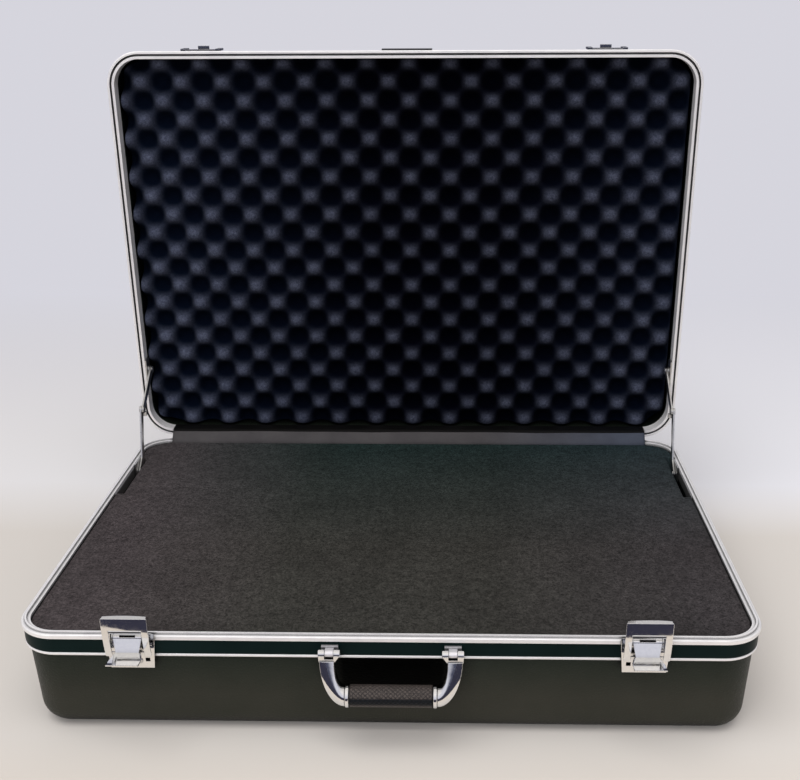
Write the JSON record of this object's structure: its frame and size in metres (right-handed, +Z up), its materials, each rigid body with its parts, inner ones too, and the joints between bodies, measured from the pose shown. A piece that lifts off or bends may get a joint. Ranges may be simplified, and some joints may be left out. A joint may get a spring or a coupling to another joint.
{
  "type": "hard carrying case",
  "caption": "Wide moulded hard case with a hinged lid, foam lining, metal rim, two draw latches and a carrying handle.",
  "frame": {"origin": "centre of the base's footprint, on the floor", "axes": "+X along the hinge to the right as seen from the front, +Y from the front to the hinge, +Z up"},
  "size_m": [0.74, 0.6056, 0.6349],
  "materials": {
    "shell_plastic": "black moulded plastic with a leather-like grain",
    "valance_metal": "bright extruded aluminium",
    "band": "smooth black strip",
    "base_foam": "charcoal open-cell foam",
    "lid_foam": "dark grey convoluted foam",
    "hinge_metal": "plain steel",
    "rivets": "plated rivet heads",
    "hinge_cover": "flexible black strip",
    "lid_plate": "dark plain plate",
    "grip": "black textured grip",
    "pins": "plain steel pin",
    "stay_metal": "zinc-plated strip steel",
    "latch_chrome": "bright nickel-chrome plate",
    "handle_chrome": "bright chrome plate"
  },
  "bodies": {
    "base": {"base_shell": "shell_plastic", "base_valance": "valance_metal", "base_valance_band": "band", "base_foam_top": "base_foam", "base_foam_bottom": "base_foam", "hinge_base_leaf": "hinge_metal", "hinge_base_rivets": "rivets", "hinge_pin": "hinge_metal", "hinge_cover": "hinge_cover", "latch_rivets": "rivets", "stay_base_bracket_left": "stay_metal", "latch_plate_left": "latch_chrome", "latch_lever_pin_left": "pins", "handle_post_left": "handle_chrome", "handle_pin_left": "pins", "stay_base_bracket_right": "stay_metal", "latch_plate_right": "latch_chrome", "latch_lever_pin_right": "pins", "handle_post_right": "handle_chrome", "handle_pin_right": "pins"},
    "lid": {"lid_shell": "shell_plastic", "lid_valance": "valance_metal", "lid_valance_band": "band", "lid_foam": "lid_foam", "hinge_lid_leaf": "hinge_metal", "hinge_lid_rivets": "rivets", "lid_plate": "lid_plate", "latch_strike_left": "latch_chrome", "stay_lid_bracket_left": "stay_metal", "latch_strike_right": "latch_chrome", "stay_lid_bracket_right": "stay_metal"},
    "handle": {"handle_arm_left": "handle_chrome", "handle_collar_left": "handle_chrome", "handle_arm_right": "handle_chrome", "handle_collar_right": "handle_chrome", "handle_grip": "grip", "handle_core": "pins"},
    "latch_lever_left": {"latch_lever_left": "latch_chrome", "latch_hasp_pin_left": "pins"},
    "latch_hasp_left": {"latch_hasp_left": "latch_chrome"},
    "stay_lower_left": {"stay_lower_arm_left": "stay_metal"},
    "stay_upper_left": {"stay_upper_arm_left": "stay_metal"},
    "latch_lever_right": {"latch_lever_right": "latch_chrome", "latch_hasp_pin_right": "pins"},
    "latch_hasp_right": {"latch_hasp_right": "latch_chrome"},
    "stay_lower_right": {"stay_lower_arm_right": "stay_metal"},
    "stay_upper_right": {"stay_upper_arm_right": "stay_metal"}
  },
  "joints": [
    {"name": "lid_hinge", "type": "hinge", "parent": "base", "child": "lid", "pos_m": [0, 0.258, 0.117], "axis": [1, 0, 0], "range_deg": [0, 90], "deforming": ["hinge_cover"]},
    {"name": "handle_swing", "type": "hinge", "parent": "base", "child": "handle", "pos_m": [0.0045, -0.2615, 0.1033], "axis": [-1, 0, 0], "range_deg": [0, 90]},
    {"name": "stay_lower_pivot_left", "type": "hinge", "parent": "base", "child": "stay_lower_left", "pos_m": [-0.3577, 0.1745, 0.102], "axis": [1, 0, 0], "range_deg": [0, 107.5]},
    {"name": "stay_upper_pivot_left", "type": "hinge", "parent": "lid", "child": "stay_upper_left", "pos_m": [-0.3554, 0.2665, 0.215], "axis": [1, 0, 0], "range_deg": [-114, 0]},
    {"name": "latch_lever_pivot_left", "type": "hinge", "parent": "base", "child": "latch_lever_left", "pos_m": [-0.25025, -0.2595, 0.1187], "axis": [-1, 0, 0], "range_deg": [-8, 70]},
    {"name": "latch_hasp_pivot_left", "type": "hinge", "parent": "latch_lever_left", "child": "latch_hasp_left", "pos_m": [-0.25025, -0.26139, 0.1024], "axis": [1, 0, 0], "range_deg": [-13, 113.75]},
    {"name": "stay_lower_pivot_right", "type": "hinge", "parent": "base", "child": "stay_lower_right", "pos_m": [0.3577, 0.1745, 0.102], "axis": [1, 0, 0], "range_deg": [0, 107.5]},
    {"name": "stay_upper_pivot_right", "type": "hinge", "parent": "lid", "child": "stay_upper_right", "pos_m": [0.3554, 0.2665, 0.215], "axis": [1, 0, 0], "range_deg": [-114, 0]},
    {"name": "latch_lever_pivot_right", "type": "hinge", "parent": "base", "child": "latch_lever_right", "pos_m": [0.25025, -0.2595, 0.1187], "axis": [-1, 0, 0], "range_deg": [-8, 70]},
    {"name": "latch_hasp_pivot_right", "type": "hinge", "parent": "latch_lever_right", "child": "latch_hasp_right", "pos_m": [0.25025, -0.26139, 0.1024], "axis": [1, 0, 0], "range_deg": [-13, 113.75]}
  ],
  "couplings": [
    {"joint": "stay_lower_pivot_left", "follows": "lid_hinge", "ratio": 1.1888},
    {"joint": "stay_upper_pivot_left", "follows": "lid_hinge", "ratio": -1.2627},
    {"joint": "latch_hasp_pivot_left", "follows": "latch_lever_pivot_left", "ratio": 1.625},
    {"joint": "stay_lower_pivot_right", "follows": "lid_hinge", "ratio": 1.1888},
    {"joint": "stay_upper_pivot_right", "follows": "lid_hinge", "ratio": -1.2627},
    {"joint": "latch_hasp_pivot_right", "follows": "latch_lever_pivot_right", "ratio": 1.625}
  ]
}
